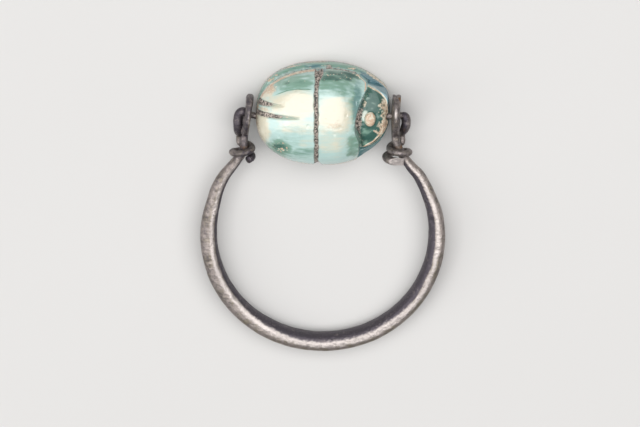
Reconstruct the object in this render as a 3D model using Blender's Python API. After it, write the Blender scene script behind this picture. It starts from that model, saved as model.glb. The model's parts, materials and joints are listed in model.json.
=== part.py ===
"""A glazed scarab amulet on a silver swivel ring, lying on its side.

Three pieces: the scarab, carved in one and pierced lengthwise; the hoop, whose two ends
are hammered out into pierced eyes; and the pin, a wire that runs through both eyes and
the scarab, loops out at each end and winds round the neck below.

World axes: +X along the pin towards the beetle's head, +Y from the base of the hoop to
the scarab, +Z up. The origin is below the middle of the whole ring, on the surface that
it lies on. Sizes are in millimetres and become metres where a mesh is written.

The scarab is worked out in its own axes: x along it, y across, z up from its base.
The hoop and the wire share the ring's axes: x along the pin, v away from the finger
hole, w out of the hoop's plane, with the pin's axis at v = 0 and w = 0.
"""

import math

import bmesh
import bpy
import numpy as np
from mathutils import Matrix, Vector

MM = 0.001

# Driving dimensions of the scarab.
HALF_LENGTH = 6.66
HALF_WIDTH = 4.90
PLAN_POWER = 2.25
HEIGHT = 6.20
WIDEST_HEIGHT = 2.75
CAP_POWER = 2.2
PIN_HEIGHT = 2.65
BASE_FLARE = 0.13
BORE_RADIUS = 0.52
COLLAR_GROOVE_X = -0.55
COLLAR_GROOVE_WIDTH = 0.55
COLLAR_GROOVE_DEPTH = 0.45
EDGE_X = 3.60
HEAD_CENTRE_X = 3.45
HEAD_RADIUS = 3.05
HEAD_RIM_HEIGHT = 3.30
SHELF_HEIGHT = 1.75

# Driving dimensions of the hoop.
HOOP_RADIUS = 11.47
HOOP_CENTRE_X = -0.17
HOOP_CENTRE_V = -12.54
BASE_HALF_THICKNESS = 0.90
BASE_HALF_DEPTH = 1.15
NECK_HALF_THICKNESS = 0.45
EYE_RADIUS = 2.05
EYE_HOLE_RADIUS = 0.45

# Driving dimensions of the pin wire.
WIRE_RADIUS = 0.33
COLLAR_RADIUS = 0.99
COLLAR_HEIGHT = -3.48
COLLAR_PITCH = 0.90

# Where the scarab's middle lies along the pin.
SCARAB_X = -0.20

# How finely the faceted solids are cut.
SCARAB_STATIONS = 56
SCARAB_ACROSS = 34
HOOP_STEP = 1.10
HOOP_SIDES = 12
WIRE_STEP = 0.42
TURN_POINTS = 15


def smooth(low, high, value):
    """Rise from 0 at low to 1 at high, level at both ends."""
    t = np.clip((value - low) / (high - low), 0.0, 1.0)
    return t * t * (3.0 - 2.0 * t)


def bump(value, width):
    """A rounded bump, 1 at value 0 and almost 0 beyond the width."""
    return np.exp(-((value / width) ** 2))


# ---------------------------------------------------------------- the scarab's form


def half_width_at(x):
    """Half the width of the widest contour at x."""
    share = np.clip(np.abs(x) / HALF_LENGTH, 0.0, 1.0)
    return HALF_WIDTH * (1.0 - share**PLAN_POWER) ** (1.0 / PLAN_POWER)


def prothorax_front(share):
    """Where the prothorax ends towards the head, at a share of the way out to either side.

    The edge is hollow in the middle, runs forward to the shoulders and then back to the
    side. The shoulder on the +Y side is the bolder one.
    """
    bold = 1.05 * smooth(0.10, 0.85, share) - 0.80 * smooth(0.86, 1.0, share)
    slight = 0.60 * smooth(0.10, 0.65, -share) - 0.35 * smooth(0.70, 1.0, -share)
    return EDGE_X - 0.25 + bold + slight


def place_on_back(station_x, share):
    """Plan place of a grid point: the grid's rows bend to follow the prothorax's front edge."""
    pull = 1.0 - smooth(0.0, 2.6, np.abs(station_x - EDGE_X))
    x = station_x + (prothorax_front(share) - EDGE_X) * pull
    return x, share * half_width_at(x)


def back_height(x, y):
    """The back as a plain domed cap over the widest contour."""
    spread = (np.abs(x) / HALF_LENGTH) ** PLAN_POWER + (np.abs(y) / HALF_WIDTH) ** PLAN_POWER
    room = np.clip(1.0 - spread ** (CAP_POWER / PLAN_POWER), 0.0, 1.0)
    cap = WIDEST_HEIGHT + (HEIGHT - WIDEST_HEIGHT) * room ** (1.0 / CAP_POWER)
    front_fall = 0.75 * smooth(1.2, 4.4, x)
    return cap - front_fall * smooth(WIDEST_HEIGHT, WIDEST_HEIGHT + 1.2, cap)


def foreleg_height(x, y):
    """The rounded forelegs that frame the head, from the side's top edge inwards."""
    spread = (np.abs(x) / HALF_LENGTH) ** PLAN_POWER + (np.abs(y) / HALF_WIDTH) ** PLAN_POWER
    inward = 1.0 - np.clip(spread, 0.0, 1.0) ** (1.0 / PLAN_POWER)
    return SHELF_HEIGHT + 0.70 * smooth(-0.02, 0.10, inward)


def head_height(x, y):
    """The head: a shallow dome that slopes to its rim, with a raised oval pad on top.

    A narrow channel parts the rim from the forelegs.
    """
    away = np.hypot(x - HEAD_CENTRE_X, y * 0.97) / HEAD_RADIUS
    plate = HEAD_RIM_HEIGHT + 1.0 * (1.0 - np.clip(away, 0.0, 1.0) ** 2)
    pad = 0.28 * smooth(1.0, 0.55, np.hypot((x - 4.75) / 0.75, y / 1.0))
    legs = foreleg_height(x, y) - 0.45 * bump(away - 1.10, 0.06)
    beyond = smooth(0.99, 1.08, away)
    return plate + pad + (legs - plate - pad) * beyond


def suture_depth(x, y):
    """Two wedge grooves that open at the rear and run out along the middle of the wing cases."""
    depth = 0.0
    for start_y, end_y, reach in ((1.45, 1.75, 2.9), (0.40, 0.62, 4.9)):
        along = np.clip((x + HALF_LENGTH) / reach, 0.0, 1.0)
        line = start_y + (end_y - start_y) * along
        depth = depth + 0.30 * (1.0 - along) * bump(y - line, 0.17 + 0.12 * (1.0 - along))
    return depth


def top_height(x, y):
    """The whole upper surface inside the widest contour."""
    back = back_height(x, y) - suture_depth(x, y)
    groove = bump(x - COLLAR_GROOVE_X, 0.5 * COLLAR_GROOVE_WIDTH)
    back = back - COLLAR_GROOVE_DEPTH * groove
    share = y / np.maximum(half_width_at(x), 0.01)
    beyond = x - prothorax_front(share)
    head = head_height(x, y) - 0.30 * bump(beyond - 0.15, 0.3)
    ahead = smooth(-0.02, 0.20, beyond)
    return back + (np.minimum(head, back) - back) * ahead


def front_share(x):
    """0 along the body, 1 beside the head, where the side carries the forelegs' shelf."""
    return smooth(3.2, 4.5, x)


def leg_relief(x, z):
    """How far the folded legs stand out of the recess along the side."""
    hind = bump(z - (1.95 + 0.10 * x), 0.16) * smooth(-6.3, -5.3, x) * smooth(-0.2, -1.0, x)
    middle = bump(z - (1.98 - 0.17 * x), 0.16) * smooth(-0.3, 0.4, x) * smooth(3.6, 2.8, x)
    return 0.30 * (hind + middle)


def side_profile():
    """The side from the base up to just below the widest contour.

    Each row holds a height and an outward offset, first for the body, then beside the head.
    """
    return (
        (2.28, -0.16, 1.70, -0.01),
        (2.12, -0.34, 1.62, 0.04),
        (1.92, -0.38, 1.54, 0.06),
        (1.70, -0.38, 1.46, 0.06),
        (1.48, -0.34, 1.38, 0.03),
        (1.30, -0.10, 1.30, 0.01),
        (1.15, 0.10, 1.15, 0.10),
        (0.60, BASE_FLARE, 0.60, BASE_FLARE),
        (0.12, 0.11, 0.12, 0.11),
        (0.00, 0.00, 0.00, 0.00),
    )


def station_places():
    """Places along the scarab, from rear tip to front tip, closer together at the grooves."""
    fine = np.linspace(-1.0, 1.0, 2001)
    x = HALF_LENGTH * np.sin(0.5 * math.pi * fine)
    density = 1.0 + 2.2 * bump(x - COLLAR_GROOVE_X, 0.45) + 1.6 * bump(x - EDGE_X - 0.1, 0.45)
    total = np.concatenate(([0.0], np.cumsum(0.5 * (density[1:] + density[:-1]))))
    wanted = np.linspace(0.0, total[-1], SCARAB_STATIONS + 1)
    return np.interp(wanted, total, x)


def outline_normal(x, y):
    """The outward direction of the widest contour at one of its points."""
    nx = np.sign(x) * (abs(x) / HALF_LENGTH) ** (PLAN_POWER - 1.0) / HALF_LENGTH
    ny = np.sign(y) * (abs(y) / HALF_WIDTH) ** (PLAN_POWER - 1.0) / HALF_WIDTH
    length = math.hypot(nx, ny)
    return nx / length, ny / length


def half_sphere():
    """The upper half of a sphere with its poles at both ends of the x axis."""
    bm = bmesh.new()
    bmesh.ops.create_uvsphere(
        bm, u_segments=2 * SCARAB_ACROSS, v_segments=SCARAB_STATIONS, radius=1.0
    )
    bmesh.ops.rotate(bm, verts=bm.verts, matrix=Matrix.Rotation(math.pi / 2, 3, "Y"))
    lower = [v for v in bm.verts if v.co.z < -1e-4]
    bmesh.ops.delete(bm, geom=lower, context="VERTS")
    return bm


def shape_back(bm, places):
    """Move each point of the half sphere onto the carved back."""
    for v in bm.verts:
        station = round(SCARAB_STATIONS * math.acos(max(-1.0, min(1.0, -v.co.x))) / math.pi)
        across = math.hypot(v.co.y, v.co.z)
        share = v.co.y / across if across > 1e-4 else 0.0
        x, y = (float(value) for value in place_on_back(places[station], share))
        rim = v.co.z < 1e-4
        body = WIDEST_HEIGHT if rim else max(float(top_height(x, y)), WIDEST_HEIGHT)
        shelf = SHELF_HEIGHT if rim else float(top_height(x, y))
        z = body + (shelf - body) * float(front_share(x))
        v.co = (x, y, z)


def lower_side(bm):
    """Extrude the rim down the side profile, level by level, and close it with a flat base."""
    rim = {v: v.co.copy() for v in bm.verts if v.is_boundary}
    for body_z, body_out, head_z, head_out in side_profile():
        edges = [e for e in bm.edges if e.is_boundary]
        made = bmesh.ops.extrude_edge_only(bm, edges=edges)["geom"]
        fresh = [g for g in made if isinstance(g, bmesh.types.BMVert)]
        below = {}
        for v in fresh:
            above = min(rim, key=lambda old: (old.co - v.co).length_squared)
            below[v] = rim[above]
        for v, start in below.items():
            share = float(front_share(start.x))
            z = body_z + (head_z - body_z) * share
            out = body_out + (head_out - body_out) * share
            out += float(leg_relief(start.x, z))
            tip = float(smooth(5.2, 6.6, abs(start.x)))
            out -= 0.12 * tip * float(smooth(1.4, 1.1, z))
            nx, ny = outline_normal(start.x, start.y)
            v.co = (start.x + out * nx, start.y + out * ny, z)
        rim = below
    bmesh.ops.contextual_create(bm, geom=[e for e in bm.edges if e.is_boundary])
    bmesh.ops.recalc_face_normals(bm, faces=bm.faces)


# ---------------------------------------------------------------- the hoop's form


def curve_through(points, step):
    """Points about one step apart on a smooth curve through the given ones."""
    points = [Vector(p) for p in points]
    padded = [2 * points[0] - points[1], *points, 2 * points[-1] - points[-2]]
    found = [points[0]]
    for before, start, end, after in zip(padded, padded[1:], padded[2:], padded[3:]):
        pieces = max(1, round((end - start).length / step))
        for i in range(1, pieces + 1):
            t = i / pieces
            found.append(
                0.5
                * (
                    2 * start
                    + (end - before) * t
                    + (2 * before - 5 * start + 4 * end - after) * t**2
                    + (3 * start - before - 3 * end + after) * t**3
                )
            )
    return found


def hoop_route():
    """The middle line of the hoop, from the top of the right eye round to that of the left."""
    bend = []
    for degrees in range(30, -211, -20):
        angle = math.radians(degrees)
        bend.append(
            (
                HOOP_CENTRE_X + HOOP_RADIUS * math.cos(angle),
                HOOP_CENTRE_V + HOOP_RADIUS * math.sin(angle),
            )
        )
    right = [(7.22, 2.10), (7.14, 0.15), (7.12, -2.20), (7.43, -3.45), (8.48, -5.30)]
    left = [(-8.78, -4.70), (-8.15, -3.70), (-8.02, -2.40), (-7.66, 0.15), (-7.42, 2.15)]
    return right, bend, left


def hoop_section(v, eye_v, eye_half_thickness):
    """Half thickness, half depth and squareness of the metal at height v."""
    growth = float(smooth(-5.0, -13.5, v))
    flat = float(smooth(-3.1, -1.9, v))
    thickness = NECK_HALF_THICKNESS + (BASE_HALF_THICKNESS - NECK_HALF_THICKNESS) * growth
    thickness += (eye_half_thickness - thickness) * flat
    depth = 0.52 + (BASE_HALF_DEPTH - 0.52) * float(smooth(-5.0, -17.0, v))
    chord = EYE_RADIUS**2 - (v - eye_v) ** 2
    if chord > 0.0:
        depth = math.hypot(depth * float(smooth(0.5, -2.0, v)), math.sqrt(chord))
    return thickness, max(depth, 0.30), 2.0 + 0.7 * max(growth, flat)


def loft(bm, rings):
    """Skin a row of rings with the same number of points, and close both ends."""
    rows = [[bm.verts.new(p) for p in ring] for ring in rings]
    count = len(rings[0])
    for low, high in zip(rows, rows[1:]):
        for i in range(count):
            j = (i + 1) % count
            bm.faces.new((low[i], low[j], high[j], high[i]))
    bm.faces.new(rows[0])
    bm.faces.new(rows[-1])
    bmesh.ops.recalc_face_normals(bm, faces=bm.faces)


def hoop_rings():
    """The hoop's sections, square to its middle line."""
    right, bend, left = hoop_route()
    line = curve_through(right[:3], 0.42)
    line += curve_through([*right[2:], *bend, *left[:3]], HOOP_STEP)[1:]
    line += curve_through(left[2:], 0.42)[1:]
    rings = []
    for i, here in enumerate(line):
        ahead = line[min(i + 1, len(line) - 1)] - line[max(i - 1, 0)]
        outward = Vector((ahead.y, -ahead.x)).normalized()
        side = (0.15, 0.36) if here.x > 0.0 else (0.20, 0.31)
        half_thickness, half_depth, power = hoop_section(here.y, *side)
        ring = []
        for k in range(HOOP_SIDES):
            angle = 2.0 * math.pi * (k + 0.5) / HOOP_SIDES
            c = math.cos(angle)
            s = math.sin(angle)
            across = math.copysign(abs(c) ** (2.0 / power), c) * half_thickness
            deep = math.copysign(abs(s) ** (2.0 / power), s) * half_depth
            place = here + outward * across
            ring.append((place.x * MM, place.y * MM, deep * MM))
        rings.append(ring)
    return rings


# ---------------------------------------------------------------- the pin wire's route


def collar_turns(centre_x, first, last):
    """Points of the winding round a neck, between two angles in degrees.

    The angle runs from the outward side (0) over the face (90); it falls as the wire goes.
    """
    side = math.copysign(1.0, centre_x)
    pieces = max(2, round((first - last) / 360.0 * TURN_POINTS))
    turns = []
    for i in range(pieces + 1):
        degrees = first + (last - first) * i / pieces
        angle = math.radians(degrees)
        v = COLLAR_HEIGHT - COLLAR_PITCH * (90.0 - degrees) / 360.0
        turns.append(
            (
                centre_x + side * COLLAR_RADIUS * math.cos(angle),
                v,
                COLLAR_RADIUS * math.sin(angle),
            )
        )
    return turns


def wire_route():
    """The wire's middle line, from its cut end on the right to its end on the left.

    At each end it leaves the eye, loops outwards and down, and slips behind the neck.
    """
    right = [
        (6.70, 0.0, 0.0),
        (7.60, 0.06, 0.0),
        (7.98, -0.02, 0.0),
        (8.16, -0.42, 0.0),
        (8.15, -0.98, 0.0),
        (7.98, -1.55, -0.35),
        (7.76, -2.25, -1.00),
        *collar_turns(7.50, 285.0, -262.0),
    ]
    left = [
        (-6.75, 0.0, 0.0),
        (-7.66, 0.22, 0.0),
        (-8.18, 0.46, 0.0),
        (-8.52, 0.22, 0.0),
        (-8.66, -0.32, 0.0),
        (-8.66, -0.95, 0.0),
        (-8.62, -1.60, -0.35),
        (-8.50, -2.30, -1.00),
        *collar_turns(-8.25, 285.0, -185.0),
    ]
    return [*reversed(curve_through(right, WIRE_STEP)), *curve_through(left, WIRE_STEP)]


# ---------------------------------------------------------------- objects


def clear_scene():
    """Remove every object that is in the scene."""
    for old in list(bpy.data.objects):
        bpy.data.objects.remove(old, do_unlink=True)


def new_collection(name):
    """A collection linked to the scene."""
    collection = bpy.data.collections.new(name)
    bpy.context.scene.collection.children.link(collection)
    return collection


def plain_material(name, colour, roughness, metallic):
    """A material with one colour and one finish."""
    material = bpy.data.materials.new(name)
    material.use_nodes = True
    shader = material.node_tree.nodes["Principled BSDF"]
    shader.inputs["Base Color"].default_value = (*colour, 1.0)
    shader.inputs["Roughness"].default_value = roughness
    shader.inputs["Metallic"].default_value = metallic
    return material


def glazed_steatite():
    """Turquoise glaze over carved stone."""
    return plain_material("glazed_steatite", (0.34, 0.62, 0.56), 0.18, 0.0)


def old_silver():
    """Tarnished, hand-worked silver."""
    return plain_material("old_silver", (0.42, 0.38, 0.36), 0.38, 1.0)


def wire_silver():
    """The slightly brighter drawn wire."""
    return plain_material("wire_silver", (0.46, 0.42, 0.40), 0.34, 1.0)


def add_object(bm, name, collection, parent, material):
    """Write the mesh, and hang the object from its empty."""
    mesh = bpy.data.meshes.new(name)
    bm.to_mesh(mesh)
    bm.free()
    mesh.materials.append(material)
    mesh.shade_smooth()
    mesh.set_sharp_from_angle(angle=math.radians(40.0))
    made = bpy.data.objects.new(name, mesh)
    made.parent = parent
    collection.objects.link(made)
    return made


def add_empty(name, collection, location, turn):
    """An empty on the pin's axis, turned about X."""
    empty = bpy.data.objects.new(name, None)
    empty.empty_display_size = 5.0 * MM
    empty.location = location
    empty.rotation_euler = (turn, 0.0, 0.0)
    collection.objects.link(empty)
    return empty


def add_cutter(name, collection, parent, place, radius, length):
    """A round rod along X that drills its target."""
    bm = bmesh.new()
    bmesh.ops.create_cone(
        bm,
        cap_ends=True,
        segments=20,
        radius1=radius * MM,
        radius2=radius * MM,
        depth=length * MM,
        matrix=Matrix.Rotation(math.pi / 2, 4, "Y"),
    )
    cutter = add_object(bm, name, collection, parent, old_silver())
    cutter.location = Vector(place) * MM
    cutter.hide_render = True
    cutter.display_type = "WIRE"
    return cutter


def drill(target, cutter):
    """Cut the rod out of the target."""
    modifier = target.modifiers.new("drill_" + cutter.name, "BOOLEAN")
    modifier.operation = "DIFFERENCE"
    modifier.object = cutter


def add_scarab(parts, cutters, axis):
    """The amulet, with its origin on the pin's axis, and the bore through it."""
    bm = half_sphere()
    shape_back(bm, station_places())
    lower_side(bm)
    shift = Matrix.Translation((SCARAB_X, 0.0, -PIN_HEIGHT))
    bmesh.ops.transform(bm, matrix=Matrix.Scale(MM, 4) @ shift, verts=bm.verts)
    scarab = add_object(bm, "scarab", parts, axis, glazed_steatite())
    drill(scarab, add_cutter("bore", cutters, axis, (0.0, 0.0, 0.0), BORE_RADIUS, 16.0))


def add_hoop(parts, cutters, plane):
    """The hoop with its two pierced eyes."""
    bm = bmesh.new()
    loft(bm, hoop_rings())
    hoop = add_object(bm, "hoop", parts, plane, old_silver())
    holes = (("right_eye_hole", (7.14, 0.08, 0.0)), ("left_eye_hole", (-7.66, 0.22, 0.0)))
    for name, place in holes:
        drill(hoop, add_cutter(name, cutters, plane, place, EYE_HOLE_RADIUS, 3.0))


def add_pin_wire(parts, plane):
    """The wire through the eyes and the scarab, wound round both necks."""
    points = wire_route()
    curve = bpy.data.curves.new("pin_wire", "CURVE")
    curve.dimensions = "3D"
    curve.bevel_depth = WIRE_RADIUS * MM
    curve.bevel_resolution = 2
    curve.use_fill_caps = True
    spline = curve.splines.new("POLY")
    spline.points.add(len(points) - 1)
    for point, place in zip(spline.points, points):
        point.co = (place.x * MM, place.y * MM, place.z * MM, 1.0)
    curve.materials.append(wire_silver())
    wire = bpy.data.objects.new("pin_wire", curve)
    wire.parent = plane
    parts.objects.link(wire)


def hoop_tilt():
    """How far the hoop tips down about the pin until its far end meets the surface."""
    drop = PIN_HEIGHT - BASE_HALF_DEPTH - 0.01
    return math.asin(drop / (HOOP_RADIUS - HOOP_CENTRE_V))


def pin_place():
    """The pin's place, such that the origin lies below the middle of the whole ring."""
    far_end = (HOOP_RADIUS - HOOP_CENTRE_V) * math.cos(hoop_tilt()) + BASE_HALF_THICKNESS
    near_side = HALF_WIDTH + BASE_FLARE
    return Vector((0.0, 0.5 * (far_end - near_side), PIN_HEIGHT)) * MM


def main():
    """Build the ring lying on its side, with the scarab's base flat on the surface."""
    clear_scene()
    parts = new_collection("scarab_amulet")
    cutters = new_collection("cutters")
    axis = add_empty("scarab_axis", parts, pin_place(), 0.0)
    plane = add_empty("hoop_plane", parts, pin_place(), hoop_tilt())
    add_scarab(parts, cutters, axis)
    add_hoop(parts, cutters, plane)
    add_pin_wire(parts, plane)


main()
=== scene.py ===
"""The looks of a glazed scarab amulet on a silver swivel ring, lying on a pale floor.

Three pieces stand in for the plain solids of the frame: the scarab, the hoop and the pin
wire. Lengths are in millimetres here and become metres where a mesh is written.

The scarab is worked out in its own axes: x towards the head, y across, z up from its base.
The hoop and the wire share the ring's axes: x along the pin, v away from the finger hole,
w out of the hoop's plane, with the pin's axis at v = 0 and w = 0.
"""

import json
import math

import bmesh
import bpy
import numpy as np
from bpy.props import FloatProperty, FloatVectorProperty, PointerProperty
from mathutils import Matrix, Vector


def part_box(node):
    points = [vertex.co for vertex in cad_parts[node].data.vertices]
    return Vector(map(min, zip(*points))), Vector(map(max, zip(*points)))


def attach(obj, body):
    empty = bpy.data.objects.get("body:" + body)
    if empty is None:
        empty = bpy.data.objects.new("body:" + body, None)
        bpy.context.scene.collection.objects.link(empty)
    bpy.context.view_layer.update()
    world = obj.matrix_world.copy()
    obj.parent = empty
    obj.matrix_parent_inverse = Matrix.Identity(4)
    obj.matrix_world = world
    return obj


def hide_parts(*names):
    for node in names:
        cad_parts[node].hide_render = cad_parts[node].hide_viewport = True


bl_info = {
    "name": "Scarab swivel ring",
    "version": (1, 0, 0),
    "blender": (4, 5, 0),
    "location": "View3D > Sidebar > Scarab",
    "description": "Makes a glazed scarab amulet on a silver swivel ring",
    "category": "Object",
}

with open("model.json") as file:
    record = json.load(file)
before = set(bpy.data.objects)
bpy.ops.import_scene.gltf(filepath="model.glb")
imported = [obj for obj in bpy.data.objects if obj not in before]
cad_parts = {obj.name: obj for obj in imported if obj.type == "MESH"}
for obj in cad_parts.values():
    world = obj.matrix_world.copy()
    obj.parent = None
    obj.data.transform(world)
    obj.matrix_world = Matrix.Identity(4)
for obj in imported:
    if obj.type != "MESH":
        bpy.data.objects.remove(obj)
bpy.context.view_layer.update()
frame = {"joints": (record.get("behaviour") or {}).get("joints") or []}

MM = 0.001

# The frame's own measures, in millimetres.
PIN = Vector(frame["joints"][0]["pos_m"]) / MM
SCARAB_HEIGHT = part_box("scarab")[1].z / MM

# The scarab's form.
PLAN_POWER = 2.25
CAP_POWER = 2.2
WIDEST_HEIGHT = 2.75
BASE_FLARE = 0.13
BORE_RADIUS = 0.52
EDGE_X = 3.60
HEAD_CENTRE_X = 3.45
HEAD_RADIUS = 3.14
HEAD_RIM_SWELL = 0.30
HEAD_RIM_HEIGHT = 3.30
PAD_PLACE = (4.75, 0.06)
RIM_NOTCHES = (-0.62, -0.34, -0.10, 0.22, 0.50)
SHELF_HEIGHT = 1.75
FORELEG_SWELL = 0.30
SIDE_HOLLOW = (0.65, 1.65)
SCARAB_X = -0.20
BASE_LINE = 0.88

# How far a painted edge leans towards +Y for each millimetre of height.
PAINT_LEAN = 0.287

# The hoop's and the wire's form.
HOOP_RADIUS = 11.47
HOOP_CENTRE = (-0.17, -12.54)
BASE_HALF_THICKNESS = 0.90
BASE_HALF_DEPTH = 1.15
NECK_HALF_THICKNESS = 0.45
NECK_HALF_DEPTH = 0.52
LEFT_SHANK_BOW = 0.24
EYE_RADIUS = 2.05
EYE_HOLE_RADIUS = 0.45
RIGHT_EYE = (7.14, 0.08)
LEFT_EYE = (-7.66, 0.22)
WIRE_RADIUS = 0.33
COLLAR_RADIUS = 0.99
COLLAR_HEIGHT = -3.60
COLLAR_PITCH = 0.90
COLLAR_START = 285.0
RIGHT_COLLAR_END = -292.0
LEFT_COLLAR_END = -232.0
LAST_TURN_SPREAD = 0.34

# How much thicker the wire is in its loops, at its left end and along its last turn.
LOOP_SWELL = 0.42
LEFT_END_SWELL = 0.15
LAST_TURN_SWELL = 0.24

# The slanting cut at the wire's right end.
CUT_PLACE = (7.05, -4.72, 0.98)
CUT_FACING = (0.22, -0.16, 0.96)
CUT_RINGS = 24

# How finely the surfaces are cut.
STATIONS = 260
ACROSS = 170
SIDE_LEVELS = 52
BASE_RINGS = 40
HOOP_STEP = 0.16
HOOP_SIDES = 72
WIRE_STEP = 0.10
WIRE_SIDES = 28
TURN_POINTS = 15


# ---------------------------------------------------------------- shared shapes


def smooth(low, high, value):
    """Rise from 0 at low to 1 at high, level at both ends."""
    t = np.clip((value - low) / (high - low), 0.0, 1.0)
    return t * t * (3.0 - 2.0 * t)


def bump(value, width):
    """A rounded bump, 1 at value 0 and almost 0 beyond twice the width."""
    return np.exp(-((value / width) ** 2))


def oval(x, y, place, radii):
    """Distance from a place, counted in the half axes of an oval round it."""
    return np.hypot((x - place[0]) / radii[0], (y - place[1]) / radii[1])


def value_noise(points, spacing, seed):
    """Smooth noise from -1 to 1 at points of shape (..., 3).

    Random values stand on a lattice of the given spacing, and each point blends the eight
    round it with smoothstep weights.
    """
    table = np.random.default_rng(seed).uniform(-1.0, 1.0, 4096)
    scaled = np.asarray(points) / spacing
    cell = np.floor(scaled).astype(np.int64)
    t = scaled - cell
    t = t * t * (3.0 - 2.0 * t)
    total = np.zeros(scaled.shape[:-1])
    for corner in range(8):
        step = np.array([corner & 1, corner >> 1 & 1, corner >> 2 & 1])
        place = cell + step
        index = place[..., 0] * 73856093 ^ place[..., 1] * 19349663 ^ place[..., 2] * 83492791
        weight = np.prod(np.where(step == 1, t, 1.0 - t), axis=-1)
        total += weight * table[index & 4095]
    return total


def layered_noise(points, spacing, seed, layers=3):
    """Value noise summed over layers, each half the spacing and half the strength of the last."""
    total = 0.0
    for layer in range(layers):
        total = total + value_noise(points, spacing / 2**layer, seed + layer) / 2**layer
    return total / 1.6


def distance_to_line(x, y, points):
    """Shortest distance in plan from each place to a broken line."""
    best = np.full(np.shape(x), np.inf)
    for (ax, ay), (bx, by) in zip(points, points[1:]):
        dx = bx - ax
        dy = by - ay
        t = np.clip(((x - ax) * dx + (y - ay) * dy) / (dx * dx + dy * dy), 0.0, 1.0)
        best = np.minimum(best, np.hypot(x - ax - t * dx, y - ay - t * dy))
    return best


def grid_faces(index):
    """The quads between neighbouring rows and columns of a table of vertex numbers."""
    corners = (index[:-1, :-1], index[1:, :-1], index[1:, 1:], index[:-1, 1:])
    return np.stack(corners, axis=-1).reshape(-1, 4).tolist()


def fan_faces(tip, row):
    """Triangles from one vertex to each pair of neighbours in a row."""
    return [(tip, int(a), int(b)) for a, b in zip(row, row[1:])]


def make_mesh(name, points, faces):
    """A smooth mesh in metres from points in millimetres, with its faces turned outwards."""
    mesh = bpy.data.meshes.new(name)
    mesh.from_pydata((np.asarray(points) * MM).tolist(), [], faces)
    bm = bmesh.new()
    bm.from_mesh(mesh)
    bmesh.ops.recalc_face_normals(bm, faces=bm.faces)
    bm.to_mesh(mesh)
    bm.free()
    mesh.shade_smooth()
    return mesh


def mesh_points(mesh):
    """The vertices of a mesh as an array of millimetres."""
    flat = np.empty(len(mesh.vertices) * 3, np.float32)
    mesh.vertices.foreach_get("co", flat)
    return flat.reshape(-1, 3).astype(float) / MM


def set_attributes(mesh, masks):
    """Store each mask as one number per vertex, from 0 to 1, for the materials to read."""
    for name, values in masks.items():
        attribute = mesh.attributes.new(name, "FLOAT", "POINT")
        attribute.data.foreach_set("value", np.clip(values, 0.0, 1.0).astype(np.float32))


def grid_normals(points, closed_rows=False):
    """Unit normals of a grid of points, from the differences between neighbours."""
    along = np.gradient(points, axis=0)
    if closed_rows:
        around = np.roll(points, -1, axis=1) - np.roll(points, 1, axis=1)
    else:
        around = np.gradient(points, axis=1)
    normal = np.cross(along, around)
    return normal / np.maximum(np.linalg.norm(normal, axis=-1, keepdims=True), 1e-9)


def drill(obj, place, radius, length, parent_turn=Matrix.Identity(4)):
    """Cut a round hole along X through the object, and keep the result as its mesh."""
    bm = bmesh.new()
    lie = Matrix.Translation(Vector(place) * MM) @ Matrix.Rotation(0.5 * math.pi, 4, "Y")
    bmesh.ops.create_cone(
        bm,
        cap_ends=True,
        segments=48,
        radius1=radius * MM,
        radius2=radius * MM,
        depth=length * MM,
        matrix=parent_turn @ lie,
    )
    tool_mesh = bpy.data.meshes.new("drill")
    bm.to_mesh(tool_mesh)
    bm.free()
    tool = bpy.data.objects.new("drill", tool_mesh)
    bpy.context.scene.collection.objects.link(tool)
    modifier = obj.modifiers.new("drill", "BOOLEAN")
    modifier.operation = "DIFFERENCE"
    modifier.solver = "MANIFOLD"
    modifier.object = tool
    graph = bpy.context.evaluated_depsgraph_get()
    cut = bpy.data.meshes.new_from_object(obj.evaluated_get(graph))
    cut.materials.clear()
    obj.modifiers.remove(modifier)
    old = obj.data
    obj.data = cut
    cut.name = obj.name
    bpy.data.meshes.remove(old)
    bpy.data.objects.remove(tool)
    bpy.data.meshes.remove(tool_mesh)


def place_piece(mesh, name):
    """An object for the mesh, at the origin."""
    obj = bpy.data.objects.new(name, mesh)
    bpy.context.scene.collection.objects.link(obj)
    return obj


# ---------------------------------------------------------------- the scarab


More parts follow.
